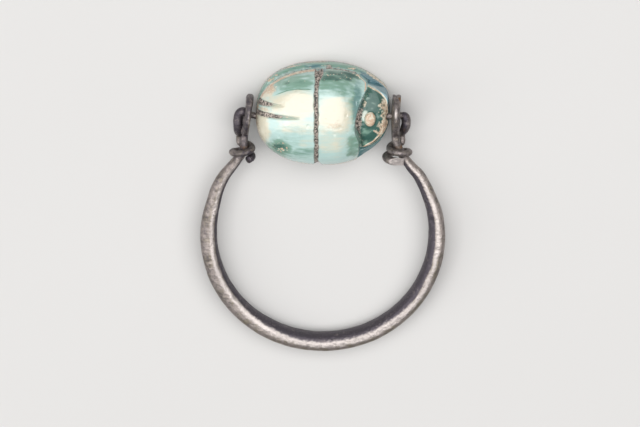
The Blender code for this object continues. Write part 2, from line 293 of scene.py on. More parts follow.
class ScarabForm:
    """The beetle's carved surface, worked out from its settings, in millimetres."""

    def __init__(self, settings):
        self.half_length = 0.5 * settings.length / MM
        self.half_width = 0.5 * settings.width / MM
        self.height = settings.height / MM
        self.groove_depth = settings.groove_depth / MM
        self.wear = settings.wear

    def half_width_at(self, x):
        """Half the width of the widest contour at x, which is a superellipse in plan."""
        share = np.clip(np.abs(x) / self.half_length, 0.0, 1.0)
        return self.half_width * (1.0 - share**PLAN_POWER) ** (1.0 / PLAN_POWER)

    def spread(self, x, y):
        """The share of the way from the middle of the plan to its widest contour."""
        along = (np.abs(x) / self.half_length) ** PLAN_POWER
        across = (np.abs(y) / self.half_width) ** PLAN_POWER
        return (along + across) ** (1.0 / PLAN_POWER)

    def prothorax_front(self, share):
        """Where the prothorax ends: hollow in the middle, forward at both shoulders."""
        aside = share + 0.12
        bold = 1.15 * np.clip(aside / 0.90, 0.0, 1.0) ** 1.7 - 0.80 * smooth(0.90, 1.0, share)
        slight = 0.40 * smooth(0.05, 0.45, -aside) - 0.25 * smooth(0.75, 1.0, -share)
        return EDGE_X - 0.40 + bold + slight

    def place_on_back(self, station_x, share):
        """Plan place of a grid point: its row bends to follow the prothorax's front edge."""
        pull = 1.0 - smooth(0.0, 2.6, np.abs(station_x - EDGE_X))
        x = station_x + (self.prothorax_front(share) - EDGE_X) * pull
        return x, share * self.half_width_at(x)

    def back_height(self, x, y):
        """A domed cap over the widest contour, lower towards the head."""
        room = np.clip(1.0 - self.spread(x, y) ** CAP_POWER, 0.0, 1.0)
        cap = WIDEST_HEIGHT + (self.height - WIDEST_HEIGHT) * room ** (1.0 / CAP_POWER)
        return cap - 0.75 * smooth(1.2, 4.4, x) * smooth(WIDEST_HEIGHT, WIDEST_HEIGHT + 1.2, cap)

    def collar_groove(self, x, y):
        """1 in the groove between the wing cases and the prothorax, which opens to a V at +Y."""
        middle = -0.62 + 0.27 * smooth(3.6, 4.8, y) + 0.12 * smooth(-3.8, -4.8, y)
        middle = middle + 0.02 * np.sin(2.1 * y) + 0.015 * np.sin(5.3 * y + 1.0)
        half = 0.20 + 0.22 * smooth(3.9, 4.75, y) + 0.18 * smooth(-4.2, -4.85, y)
        half = half + 0.02 * np.sin(7.0 * y + 0.5)
        return smooth(half + 0.09, half - 0.09, np.abs(x - middle))

    def wedges(self, x, y):
        """1 in the two wedge grooves that open at the rear and run out along the wing cases."""
        found = 0.0
        for start_y, end_y, reach, wide in WEDGES:
            along = np.clip((x + self.half_length) / reach, 0.0, 1.0)
            line = start_y + (end_y - start_y) * along
            half = wide * (1.0 - along) ** 0.8 + 0.02
            inside = smooth(half + 0.08, half - 0.08, np.abs(y - line))
            found = np.maximum(found, inside * smooth(1.0, 0.82, along))
        return found

    def junction(self, x, y):
        """1 in the hollow where the head meets the prothorax."""
        share = y / np.maximum(self.half_width_at(x), 0.01)
        beyond = x - self.prothorax_front(share)
        return bump(beyond - 0.18, 0.28)

    def foreleg_height(self, x, y):
        """The rounded forelegs that frame the head, from the side's top edge inwards."""
        inward = 1.0 - np.clip(self.spread(x, y), 0.0, 1.0)
        arm = 0.70 + 0.45 * bump(oval(x, y, (5.4, 3.0), (1.6, 1.6)), 1.0)
        return SHELF_HEIGHT + arm * smooth(-0.02, 0.12, inward) ** 0.7

    def head_polar(self, x, y):
        """The direction from the head's middle, and the share of the way out to its rim."""
        turn = np.arctan2(y, x - HEAD_CENTRE_X)
        radius = HEAD_RADIUS + HEAD_RIM_SWELL * smooth(0.15, 0.65, turn)
        return turn, np.hypot(x - HEAD_CENTRE_X, y) / radius

    def head_height(self, x, y):
        """The head: a shallow dome with a notched rim, a raised pad and two cheek ridges."""
        turn, away = self.head_polar(x, y)
        plate = HEAD_RIM_HEIGHT + 1.0 * (1.0 - np.clip(away, 0.0, 1.0) ** 2)
        pad = 0.30 * smooth(1.0, 0.62, oval(x, y, PAD_PLACE, (0.62, 0.86)))
        notches = sum(bump((turn - place) * away, 0.020) for place in RIM_NOTCHES)
        notches = 0.16 * notches * smooth(0.68, 0.86, away)
        cheek = 0.10 * bump(distance_to_line(x, y, CHEEK_RIDGE), 0.10)
        legs = self.foreleg_height(x, y) - 0.40 * bump(away - 1.06, 0.035)
        beyond = smooth(0.98, 1.04, away)
        head = plate + pad + cheek - notches
        return head + (legs - head) * beyond

    def top_height(self, x, y):
        """The whole upper surface inside the widest contour."""
        back = self.back_height(x, y)
        back = back - 0.30 * self.wedges(x, y)
        back = back - self.groove_depth * self.collar_groove(x, y)
        share = y / np.maximum(self.half_width_at(x), 0.01)
        beyond = x - self.prothorax_front(share)
        head = self.head_height(x, y) - 0.30 * self.junction(x, y)
        ahead = smooth(-0.02, 0.20, beyond)
        return back + (np.minimum(head, back) - back) * ahead

    def groove_notch(self, x):
        """How far the collar groove cuts into the outline where it runs over the side."""
        return 0.24 * bump(x + 0.45, 0.24)

    def arm_bulge(self, x, y):
        """How far the +Y foreleg swells out beyond the outline."""
        return FORELEG_SWELL * bump(oval(x, y, (6.15, 2.3), (1.0, 1.0)), 1.0)

    def front_share(self, x):
        """0 along the body, 1 beside the head, where the side carries the forelegs' shelf."""
        return smooth(3.2, 4.5, x)

    def leg_relief(self, x, z):
        """How far the folded legs stand out of the recess along the side."""
        hind = bump(z - (1.95 + 0.10 * x), 0.16) * smooth(-6.3, -5.3, x) * smooth(-0.2, -1.0, x)
        middle = bump(z - (1.98 - 0.17 * x), 0.16) * smooth(-0.3, 0.4, x) * smooth(3.6, 2.8, x)
        notch = 0.08 * np.sin(x * 9.0) * (hind + middle)
        hollow = bump(oval(x, z, SIDE_HOLLOW, (0.55, 0.45)), 1.0)
        return 0.30 * (hind + middle) + notch - 0.30 * hollow

    def outline_normal(self, x, y):
        """The outward direction of the widest contour."""
        nx = np.sign(x) * (np.abs(x) / self.half_length) ** (PLAN_POWER - 1.0) / self.half_length
        ny = np.sign(y) * (np.abs(y) / self.half_width) ** (PLAN_POWER - 1.0) / self.half_width
        length = np.maximum(np.hypot(nx, ny), 1e-9)
        return nx / length, ny / length


# The wedge grooves: where each starts and ends across, how far it runs, and its half width.
WEDGES = ((1.70, 1.80, 2.9, 0.29), (0.68, 0.60, 4.7, 0.27))

# The ridge on the cheek, in plan: a short stroke out to the rim, then a long one back.
CHEEK_RIDGE = ((5.15, -1.20), (5.78, -1.62), (5.05, -2.40), (4.15, -2.95))

# The side from just below the widest contour to the base. Each row holds a height and an
# outward offset, first for the body, then beside the head.
SIDE_PROFILE = (
    (WIDEST_HEIGHT, 0.00, SHELF_HEIGHT, 0.00),
    (2.28, -0.16, 1.70, -0.01),
    (2.12, -0.34, 1.62, 0.04),
    (1.92, -0.38, 1.54, 0.06),
    (1.70, -0.38, 1.46, 0.06),
    (1.48, -0.34, 1.38, 0.03),
    (1.30, -0.10, 1.30, 0.01),
    (1.15, 0.10, 1.15, 0.10),
    (0.60, BASE_FLARE, 0.60, BASE_FLARE),
    (0.12, 0.11, 0.12, 0.11),
    (0.00, 0.00, 0.00, 0.00),
)


def scarab_stations(form):
    """Places along the scarab, closer together at both tips, the groove and the head's edge."""
    fine = np.linspace(-1.0, 1.0, 4001)
    x = form.half_length * np.sin(0.5 * math.pi * fine)
    density = 1.0 + 1.2 * bump(x + 0.62, 0.5) + 0.8 * bump(x - EDGE_X - 0.1, 0.6)
    total = np.concatenate(([0.0], np.cumsum(0.5 * (density[1:] + density[:-1]))))
    return np.interp(np.linspace(0.0, total[-1], STATIONS + 1), total, x)


def scarab_top(form):
    """Heights over a grid of stations along x and sines of evenly spaced angles across."""
    share = np.sin(np.linspace(-0.5 * math.pi, 0.5 * math.pi, ACROSS + 1))
    station, share = np.meshgrid(scarab_stations(form), share, indexing="ij")
    x, y = form.place_on_back(station, share)
    height = form.top_height(x, y)
    rim = np.abs(share) > 1.0 - 1e-9
    body = np.where(rim, WIDEST_HEIGHT, np.maximum(height, WIDEST_HEIGHT))
    shelf = np.where(rim, SHELF_HEIGHT, height)
    z = body + (shelf - body) * form.front_share(x)
    near = smooth(0.86, 1.0, np.abs(share))
    nx, ny = form.outline_normal(x, y)
    swell = form.arm_bulge(x, y) * near
    y = y - np.sign(share) * form.groove_notch(x) * near
    return np.stack((x + swell * nx, y + swell * ny, z), axis=-1)


def scarab_side(form, rim):
    """Rows of points from the rim down to the base, offset outwards by the side's profile."""
    rows = np.array(SIDE_PROFILE)
    step = np.linspace(0.0, len(rows) - 1.0, SIDE_LEVELS + 1)[1:]
    profile = [np.interp(step, np.arange(len(rows)), rows[:, column]) for column in range(4)]
    body_z, body_out, head_z, head_out = (column[:, None] for column in profile)
    x = rim[None, :, 0]
    y = rim[None, :, 1]
    y = y + np.sign(y) * form.groove_notch(x) * smooth(2.5, 1.9, body_z)
    share = form.front_share(x)
    z = body_z + (head_z - body_z) * share
    out = body_out + (head_out - body_out) * share + form.leg_relief(x, z)
    out = out - 0.12 * smooth(5.2, 6.6, np.abs(x)) * smooth(1.4, 1.1, z)
    nx, ny = form.outline_normal(x, y)
    return np.stack((x + out * nx, y + out * ny, z), axis=-1)


def scarab_base(loop):
    """Rings from the base's edge to its middle, with a shallow line cut round the border."""
    share = np.linspace(1.0, 0.0, BASE_RINGS + 1)[1:-1, None]
    line = 0.14 * bump(share - BASE_LINE, 0.035)
    x = loop[None, :, 0] * share
    y = loop[None, :, 1] * share
    return np.stack((x, y, line + 0.0 * x), axis=-1)


def scarab_points(form):
    """All the scarab's points and faces: the top, the side and the base, sewn together."""
    top = scarab_top(form)
    inner = top[1:-1]
    count = inner.shape[0] * inner.shape[1]
    index = np.arange(count).reshape(inner.shape[:2])
    rear = count
    front = count + 1
    loop = np.concatenate(([front], index[::-1, -1], [rear], index[:, 0]))
    points = np.concatenate((inner.reshape(-1, 3), top[0, :1], top[-1, :1]))
    points[rear, 2] = WIDEST_HEIGHT
    points[front, 2] = SHELF_HEIGHT
    side = scarab_side(form, points[loop])
    base = scarab_base(side[-1])
    down = np.concatenate((side, base))
    start = len(points)
    below = start + np.arange(down.shape[0] * down.shape[1]).reshape(down.shape[:2])
    rows = np.concatenate((loop[None, :], below))
    rows = np.concatenate((rows, rows[:, :1]), axis=1)
    centre = start + below.size
    faces = grid_faces(index) + grid_faces(rows)
    faces += fan_faces(rear, index[0]) + fan_faces(front, index[-1])
    faces += fan_faces(centre, rows[-1])
    points = np.concatenate((points, down.reshape(-1, 3), [[0.0, 0.0, 0.0]]))
    return points, faces


def weather_scarab(form, mesh):
    """Move each vertex along its normal: broad unevenness, polishing lines, pits and chips."""
    places = mesh_points(mesh)
    normals = np.empty(len(mesh.vertices) * 3, np.float32)
    mesh.vertices.foreach_get("normal", normals)
    normals = normals.reshape(-1, 3)
    local = places - scarab_shift()
    broad = 0.035 * layered_noise(local, 2.2, 11)
    lines = 0.006 * value_noise(local * (0.25, 1.0, 1.0), 0.16, 21)
    pits = -0.035 * smooth(0.62, 0.80, value_noise(local, 0.30, 31))
    dirt = 0.05 * value_noise(local, 0.12, 41) * scarab_masks(form, local)["dirt"]
    above_base = smooth(0.02, 0.30, local[:, 2])
    shift = form.wear * (broad + lines + pits + dirt) * above_base
    moved = places + normals * shift[:, None]
    moved[:, 2] = np.maximum(moved[:, 2], 0.0)
    mesh.vertices.foreach_set("co", (moved * MM).astype(np.float32).ravel())
    mesh.update()


def scarab_shift():
    """From the scarab's own axes to the world, in millimetres."""
    return np.array((SCARAB_X, PIN.y, 0.0))


# Painted patches: place along x, place across (leaning with the height), half length, half
# breadth and strength.
GREEN_PATCHES = (
    (-3.3, 3.00, 3.0, 1.35, 0.38),
    (-2.6, 2.60, 1.8, 0.55, 0.56),
    (-4.3, -4.15, 1.30, 0.95, 0.72),
    (-2.0, -4.60, 1.5, 0.60, 0.36),
    (-3.2, -3.40, 2.0, 0.80, 0.14),
    (1.9, 3.45, 2.5, 0.85, 0.80),
    (2.4, 3.45, 1.4, 0.75, 0.88),
    (1.4, 2.20, 2.4, 1.10, 0.40),
    (3.3, 0.20, 0.6, 3.00, 0.44),
    (3.0, -3.90, 0.8, 1.10, 0.52),
)
# Pale patches are partly bleached glaze and partly a painted reflection of the overhead light over
# the middle of the wing cases and the prothorax.
PALE_AND_REFLECTION_PATCHES = (
    (-3.0, 0.30, 2.8, 1.80, 0.90),
    (-6.0, -2.00, 0.9, 2.20, 0.95),
    (-5.6, 1.90, 1.1, 1.00, 0.90),
    (1.2, -0.70, 1.9, 2.40, 0.92),
    (-2.2, -1.90, 2.4, 0.90, 0.55),
    (-5.2, 2.60, 1.0, 0.60, 0.45),
    (0.9, -3.60, 1.7, 1.50, 0.50),
    (-1.4, -3.40, 0.9, 0.60, 0.35),
)
BLUE_PATCHES = (
    (3.45, 0.40, 0.5, 3.00, 0.55),
    (1.4, 1.80, 2.2, 0.70, 0.20),
    (-2.2, -2.60, 1.6, 0.80, 0.22),
    (-0.9, 4.70, 1.3, 0.45, 0.90),
    (-1.8, -4.60, 1.4, 0.50, 0.30),
    (0.05, 4.05, 0.5, 0.30, 0.60),
)
BARE_PATCHES = (
    (-5.3, 2.05, 0.9, 0.75, 0.62),
    (-6.2, -1.60, 0.4, 1.20, 0.36),
    (1.1, -1.90, 0.9, 0.55, 0.50),
    (1.3, -0.70, 1.7, 1.80, 0.30),
    (-3.6, 0.30, 2.0, 0.80, 0.24),
    (4.2, 0.45, 0.28, 0.55, 0.50),
    (-4.9, 3.20, 0.5, 0.35, 0.45),
    (1.4, 4.65, 0.9, 0.12, 0.80),
)


def patches(table, x, lean):
    """The strongest of the table's soft-edged patches at each place."""
    found = np.zeros_like(x)
    for along, across, half_length, half_breadth, strength in table:
        away = oval(x, lean, (along, across), (half_length, half_breadth))
        found = np.maximum(found, strength * smooth(1.45, 0.40, away))
    return found


def scarab_masks(form, local):
    """How deep, pale, blue, bare or dirty the glaze is, from 0 to 1 at each place.

    Patches keep to the back; grooves, edges and the head's parts follow the carving. The pale
    patches over the middle of the wing cases and the prothorax are partly a painted reflection
    of the overhead light. Every mask is the strongest of its own soft-edged regions, with noise
    along its edges.
    """
    x, y, z = local.T
    spread = form.spread(x, y)
    top = smooth(2.3, 2.9, z + 1.2 * form.front_share(x))
    share = y / np.maximum(form.half_width_at(x), 0.01)
    beyond = x - form.prothorax_front(share)
    upper = smooth(0.9, 1.4, z)
    head = smooth(0.05, 0.25, beyond) * upper
    back = top * (1.0 - head)
    under = smooth(0.35, 0.10, z)
    streak = value_noise(local * (0.14, 1.0, 1.0), 0.24, 101)
    mottle = layered_noise(local, 0.7, 111)
    drift = layered_noise(local, 1.8, 131)
    fine = value_noise(local, 0.16, 121)
    lean = y - PAINT_LEAN * z
    painted = lean + 0.16 * mottle + 0.22 * drift + 0.06 * streak
    along = x + 0.30 * mottle + 0.40 * drift

    # Dirt packed into the grooves, the hollows and the border line underneath.
    groove = form.collar_groove(x, y) * top
    wedge = form.wedges(x, y) * top
    hollow = bump(beyond - 0.36, 0.44) * smooth(0.92, 0.70, np.abs(share)) * top
    hollow = hollow * (0.55 + 0.45 * smooth(1.6, 0.2, np.abs(lean + 1.2)))
    recess = smooth(0.995, 0.96, spread) * smooth(2.6, 2.3, z) * smooth(1.2, 1.5, z)
    recess = recess * (1.0 - form.front_share(x)) * (1.0 + 0.3 * smooth(0.8, 1.4, x))
    hole = bump(oval(x, z, (0.65, 1.55), (0.55, 0.50)), 1.0) * smooth(3.5, 4.0, y)
    rear_half = smooth(-4.5, -5.5, x - 0.9 * (y < 1.15))
    soiled_wedge = wedge * (0.25 + 0.75 * rear_half)
    border = bump(spread / BASE_LINE - 1.0, 0.03) * smooth(0.02, 0.08, z)
    soiled_base = under * (0.75 * border + 0.30 * mottle)
    dirt = np.maximum.reduce(
        (groove, soiled_wedge, 0.8 * hollow, 0.5 * recess, 0.9 * hole, soiled_base)
    )

    # The line across the wing cases and the prothorax where the pale glaze and the painted
    # reflection of the overhead light begin.
    wing_line = 1.92 - 0.17 * np.clip(-2.6 - x, 0.0, None) ** 1.6
    edge = np.where(x < -0.6, wing_line, 1.25 - 0.04 * x)
    edge = edge + 0.05 * mottle
    below = np.maximum(smooth(edge + 0.05, edge - 0.05, lean), smooth(-4.4, -5.1, x))
    seam = bump(lean - edge - 0.03, 0.05) * smooth(-5.0, -4.2, x) * smooth(-0.9, -1.4, x)
    turn, away = form.head_polar(x, y)
    on_plate = head * smooth(1.00, 0.95, away)
    arm = head * smooth(0.99, 1.03, away) * smooth(-0.2, 0.3, turn)

    # How deep, how pale and how blue the glaze is; the pale mask also holds a painted reflection of
    # the overhead light.
    deep = patches(GREEN_PATCHES, along, painted) * back
    deep = np.maximum(deep, (1.05 + 0.50 * mottle) * on_plate)
    deep = np.maximum.reduce((deep, 0.9 * seam * back, 0.75 * wedge))
    deep = deep + (0.20 * streak + 0.16 * mottle) * smooth(0.1, 0.4, deep)
    deep = np.maximum(deep, 0.45 * smooth(0.93, 1.0, spread) * smooth(2.4, 1.2, z) * (1.0 - under))
    deep = deep + under * (0.42 + 0.40 * drift)
    halo = smooth(1.3, 0.7, oval(x, y, (4.26, 0.38), (0.36, 0.62))) * head
    pale_and_reflection = patches(PALE_AND_REFLECTION_PATCHES, along, painted) * back * below
    pale_and_reflection = pale_and_reflection * (1.0 - 0.35 * np.clip(deep, 0.0, 1.0)) + (0.16 * streak + 0.14 * mottle) * back
    specked = bump(oval(x, lean, (-4.1, -4.1), (1.0, 0.7)), 1.0)
    pits = 0.9 * smooth(0.58 - 0.40 * specked, 0.74 - 0.30 * specked, fine) * back
    pits = pits * smooth(0.35, 0.7, deep)
    blue = np.maximum(patches(BLUE_PATCHES, along, painted) * smooth(0.9, 1.4, z), 0.9 * arm)
    side_streak = smooth(-0.25, 0.35, streak) * smooth(0.98, 1.0, spread) * smooth(2.7, 2.4, z)
    blue = np.maximum(blue, 0.45 * side_streak)
    blue = np.maximum(blue, 0.55 * wedge * (1.0 - rear_half))
    far_arm = smooth(1.0, 1.1, away) * head * smooth(0.0, -0.4, turn)
    blue = np.maximum(blue, 0.6 * far_arm)
    deep = np.maximum(deep, 0.8 * far_arm)

    # Bare stone along the edges and ridges and on the head's parts.
    rim_line = bump(spread - 0.992, 0.009) * smooth(2.45, 2.7, z) * (1.0 - head) * upper
    rim_line = rim_line * np.clip(np.where(x < -0.4, 1.0, 0.0) + smooth(3.2, 3.7, x), 0.0, 1.0)
    low_edge = smooth(0.905, 0.955, spread) * smooth(2.3, 2.7, z) * smooth(-3.0, -4.0, y)
    low_edge = low_edge * (1.0 - head) * (0.50 + 0.35 * drift)
    clypeus = smooth(0.52, 0.98, away + 0.20 * mottle + 0.08 * fine) * on_plate * 0.95
    clypeus = clypeus * smooth(-1.0, -0.5, turn) * smooth(0.85, 0.45, turn)
    lip = bump(away - 0.985, 0.022) * head * top
    cheek = bump(distance_to_line(x, y, CHEEK_RIDGE), 0.10) * head
    pad = smooth(1.02, 0.85, oval(x, y, PAD_PLACE, (0.58, 0.80))) * head
    strip = bump(y - 1.20, 0.28) * smooth(-3.4, -5.6, x) * 0.55 * upper
    rear = smooth(-5.8, -6.6, x) * 0.55 * upper
    shoulder = bump(beyond + 0.06, 0.08) * smooth(0.62, 0.80, share) * smooth(2.6, 2.9, z)
    ridges = smooth(0.20, 0.50, streak) * smooth(0.97, 1.0, spread) * smooth(2.7, 2.4, z) * 0.8
    ridges = ridges * smooth(4.0, 3.4, x)
    arm_edge = smooth(1.5, 1.1, z) * smooth(0.3, 0.6, z) * smooth(4.0, 4.6, x) * smooth(0.4, 1.2, y)
    ridges = np.maximum(ridges, 0.6 * arm_edge)
    worn_edge = 0.7 * bump(spread - 1.0, 0.05) + 0.35 * smooth(0.1, 0.7, drift + 0.5 * mottle)
    edges = (rim_line, low_edge, strip, rear, shoulder, ridges, under * worn_edge)
    parts = (0.78 * clypeus, 0.8 * lip, cheek, pad, pits)
    bare = np.maximum.reduce((patches(BARE_PATCHES, along, painted) * top, *edges, *parts))
    return {
        "dirt": dirt,
        "deep": deep * (1.0 - 0.8 * halo),
        "pale_and_reflection": np.maximum(pale_and_reflection, 0.50 * halo),
        "blue": np.maximum(blue, 0.45 * halo),
        "bare": bare * (1.0 - groove),
    }


def make_scarab(settings):
    """The scarab's object: the carved surface, drilled for the pin, with its masks."""
    form = ScarabForm(settings)
    points, faces = scarab_points(form)
    mesh = make_mesh("scarab_carving", points + scarab_shift(), faces)
    weather_scarab(form, mesh)
    obj = place_piece(mesh, "scarab_carving")
    drill(obj, PIN, BORE_RADIUS, 16.0)
    obj.data.shade_smooth()
    set_attributes(obj.data, scarab_masks(form, mesh_points(obj.data) - scarab_shift()))
    return obj


# ---------------------------------------------------------------- the ring's own axes


def ring_matrix():
    """From the ring's axes to the world, in metres: the hoop tips down about the pin."""
    drop = PIN.z - BASE_HALF_DEPTH - 0.01
    tilt = math.asin(drop / (HOOP_RADIUS - HOOP_CENTRE[1]))
    return Matrix.Translation(PIN * MM) @ Matrix.Rotation(tilt, 4, "X")


def to_world(points):
    """Ring points in millimetres as world points in millimetres."""
    turn = np.array(ring_matrix())
    return points @ turn[:3, :3].T + turn[:3, 3] / MM


def curve_through(points, step):
    """Points about one step apart on a Catmull-Rom curve through the given ones."""
    points = np.array(points, float)
    padded = np.vstack((2 * points[0] - points[1], points, 2 * points[-1] - points[-2]))
    found = [points[:1]]
    for before, start, end, after in zip(padded, padded[1:], padded[2:], padded[3:]):
        pieces = max(1, round(float(np.linalg.norm(end - start)) / step))
        t = (np.arange(1, pieces + 1) / pieces)[:, None]
        found.append(
            0.5
            * (
                2 * start
                + (end - before) * t
                + (2 * before - 5 * start + 4 * end - after) * t**2
                + (3 * start - before - 3 * end + after) * t**3
            )
        )
    return np.concatenate(found)


# ---------------------------------------------------------------- the hoop


def hoop_line():
    """The hoop's middle line in x and v, from the right eye round to the left one."""
    angles = np.radians(np.arange(30, -211, -20))
    bend = np.stack(
        (
            HOOP_CENTRE[0] + HOOP_RADIUS * np.cos(angles),
            HOOP_CENTRE[1] + HOOP_RADIUS * np.sin(angles),
        ),
        axis=-1,
    )
    right = ((7.22, 2.10), (7.14, 0.15), (7.12, -2.20), (7.43, -3.45), (8.62, -5.30))
    left = ((-8.78, -4.70), (-8.15, -3.70), (-8.02, -2.40), (-7.66, 0.15), (-7.42, 2.15))
    line = curve_through((*right, *bend.tolist(), *left), HOOP_STEP)
    line[:, 0] -= LEFT_SHANK_BOW * bump(line[:, 1] + 7.2, 1.8) * (line[:, 0] < 0.0)
    return line


def around_hoop(x, v):
    """The turn round the hoop's centre from its open side, and the distance from the centre."""
    turn = np.arctan2(v - HOOP_CENTRE[1], x - HOOP_CENTRE[0]) - 0.5 * math.pi
    return turn % (2.0 * math.pi), np.hypot(x - HOOP_CENTRE[0], v - HOOP_CENTRE[1])


# How thick the shank is in the ring's plane, from the neck to the base: distances below the
# pin, and the half thickness at each.
SHANK_PLACES = (3.4, 4.4, 5.45, 6.7, 7.8, 9.0, 10.5, 12.5, 17.0)
SHANK_HALF_THICKNESS = (
    NECK_HALF_THICKNESS,
    *(0.47, 0.54, 0.63, 0.67, 0.70, 0.76, 0.85),
    BASE_HALF_THICKNESS,
)


def hoop_surface():
    """A section carried along the middle line: rounded oblong at the base, flat at the eyes.

    The section is a superellipse, |c / thickness|^p + |w / depth|^p = 1, and then moves along
    its normal by hammer marks, pits, chips and the crust on the left eye.
    """
    line = hoop_line()
    ahead = np.gradient(line, axis=0)
    outward = np.stack((ahead[:, 1], -ahead[:, 0]), axis=-1)
    outward /= np.linalg.norm(outward, axis=1, keepdims=True)
    v = line[:, 1]
    on_right = line[:, 0] > 0.0
    eye_v = np.where(on_right, 0.15, 0.20)
    eye_half = np.where(on_right, 0.43, 0.34 + 0.07 * smooth(0.6, 2.0, v))
    growth = smooth(-5.0, -13.5, v)
    flat = smooth(-3.1, -1.9, v)
    thickness = np.interp(-v, SHANK_PLACES, SHANK_HALF_THICKNESS)
    thickness = thickness + (eye_half - thickness) * flat
    tip = np.clip((v - 1.70) / 0.50, 0.0, 1.0) * ~on_right
    thickness = thickness * np.sqrt(1.0 - 0.75 * tip**2)
    depth = NECK_HALF_DEPTH + (BASE_HALF_DEPTH - NECK_HALF_DEPTH) * smooth(-5.0, -17.0, v)
    chord = np.sqrt(np.clip(EYE_RADIUS**2 - (v - eye_v) ** 2, 0.0, None))
    prongs = 0.30 * smooth(1.75, 2.1, v) * on_right
    depth = depth * np.where(chord > 0, smooth(0.5, -2.0, v), 1.0)
    depth = np.maximum(np.hypot(depth, chord), 0.30)
    angle = 2.0 * math.pi * (np.arange(HOOP_SIDES) + 0.5) / HOOP_SIDES
    c = np.cos(angle)[None, :]
    s = np.sin(angle)[None, :]
    squareness = np.where(c < 0.0, 1.3, 0.25)
    power = 2.0 + squareness * growth[:, None] + 1.2 * flat[:, None]
    across = np.sign(c) * np.abs(c) ** (2.0 / power) * thickness[:, None]
    deep = np.sign(s) * np.abs(s) ** (2.0 / power) * depth[:, None]
    x = line[:, :1] + outward[:, :1] * across
    y = line[:, 1:] + outward[:, 1:] * across
    y = y - prongs[:, None] * bump(across - 0.05, 0.12)
    points = np.stack((x, y, deep), axis=-1)
    normals = grid_normals(points, closed_rows=True)
    middle = np.concatenate((line, np.zeros((len(line), 1))), axis=1)[:, None, :]
    side = np.sign(np.sum(normals * (points - middle), axis=-1, keepdims=True))
    hammer = 0.045 * layered_noise(points, 2.6, 51) + 0.012 * value_noise(points, 0.5, 61)
    pits = -0.03 * smooth(0.60, 0.85, value_noise(points, 0.35, 71))
    chips = -0.12 * smooth(0.70, 0.90, value_noise(points, 0.9, 75)) * growth[:, None]
    crusted = (smooth(-2.9, -2.3, v) * smooth(0.7, 0.2, v) * ~on_right)[:, None]
    crust = 0.16 * crusted * smooth(0.1, 0.5, value_noise(points, 0.28, 77)) * smooth(0.2, 0.6, -c)
    return points + normals * side * (hammer + chips + crust + pits)[..., None]


def tube_faces(rows, columns):
    """Quads round a tube of rings, and a fan over each end from its own middle vertex."""
    index = np.arange(rows * columns).reshape(rows, columns)
    wrapped = np.concatenate((index, index[:, :1]), axis=1)
    faces = grid_faces(wrapped)
    faces += fan_faces(rows * columns, wrapped[0]) + fan_faces(rows * columns + 1, wrapped[-1])
    return faces


def make_tube(name, grid):
    """The object for a tube of rings closed at both ends, and its points in the ring's axes."""
    ends = np.stack((grid[0].mean(axis=0), grid[-1].mean(axis=0)))
    ring = np.concatenate((grid.reshape(-1, 3), ends))
    mesh = make_mesh(name, to_world(ring), tube_faces(*grid.shape[:2]))
    return place_piece(mesh, name), ring


def make_hoop():
    """The hoop's object, with an eye hole drilled at each end, and its masks."""
    obj, ring = make_tube("hoop_silver", hoop_surface())
    for x, v in (RIGHT_EYE, LEFT_EYE):
        drill(obj, (x, v, 0.0), EYE_HOLE_RADIUS, 3.0, ring_matrix())
    obj.data.shade_smooth()
    ring = (mesh_points(obj.data) - np.array(PIN)) @ np.array(ring_matrix())[:3, :3]
    x, v, w = ring.T
    turn, away = around_hoop(x, v)
    line_turn, line_away = around_hoop(*hoop_line()[::-1].T)
    shank = slice(np.argmin(line_turn), np.argmax(line_turn) + 1)
    out = away - np.interp(turn, line_turn[shank], line_away[shank])
    out = out / np.interp(-v, SHANK_PLACES, SHANK_HALF_THICKNESS)
    leftness = smooth(0.1, 0.9, (HOOP_CENTRE[0] - x) / HOOP_RADIUS)
    on_arc = smooth(-3.8, -5.2, v)
    wobble = 0.10 * layered_noise(ring, 1.2, 141)
    arris = -0.16 - 0.50 * leftness + wobble
    # Painted shade: the hoop's inner face, towards the finger hole, is darkened through the tarnish
    # mask.
    inner = smooth(arris + 0.08, arris - 0.08, out) * on_arc
    margin = smooth(arris + 0.55, arris + 1.25, out) * on_arc
    pit = bump(np.linalg.norm(ring - (0.75, -23.7, 0.9), axis=1), 0.25)
    low_down = smooth(-18.0, -23.0, v)
    outer = 0.30 * margin * (1.0 - 0.8 * low_down)
    necks = (0.42 + 0.22 * (x < 0.0)) * (1.0 - on_arc)
    # Painted highlight: a light band along the front face just past the arris, on the upper side
    # only.
    streak = bump(out - arris - 0.32 + 0.14 * low_down, 0.30 + 0.14 * low_down)
    streak = streak * smooth(0.0, 0.6, w) * on_arc
    # Painted highlights: light lines along the ridges of the two eye plates, on the upper side
    # only.
    ridge_highlight = 0.9 * bump(v - 0.85, 0.55) * bump(x - 7.12, 0.14) * smooth(0.6, 1.2, w)
    left_ridge_highlight = 0.7 * bump(v + 0.1, 1.0) * bump(x + 7.52, 0.12) * smooth(0.6, 1.2, w)
    near_collar = bump(v + 3.15, 0.40) * 0.62
    right_eye = (x > 0.0) * smooth(-2.8, -1.8, v)
    right_eye = right_eye * smooth(0.35, 0.75, value_noise(ring, 0.7, 151))
    masks = {
        "tarnish_and_shade": np.maximum.reduce((inner, outer, necks, pit)),
        "rubbed_and_highlight": np.maximum.reduce((streak, ridge_highlight, left_ridge_highlight)),
        "rust": np.maximum(near_collar, right_eye),
    }
    set_attributes(obj.data, masks)
    return obj


# ---------------------------------------------------------------- the pin wire


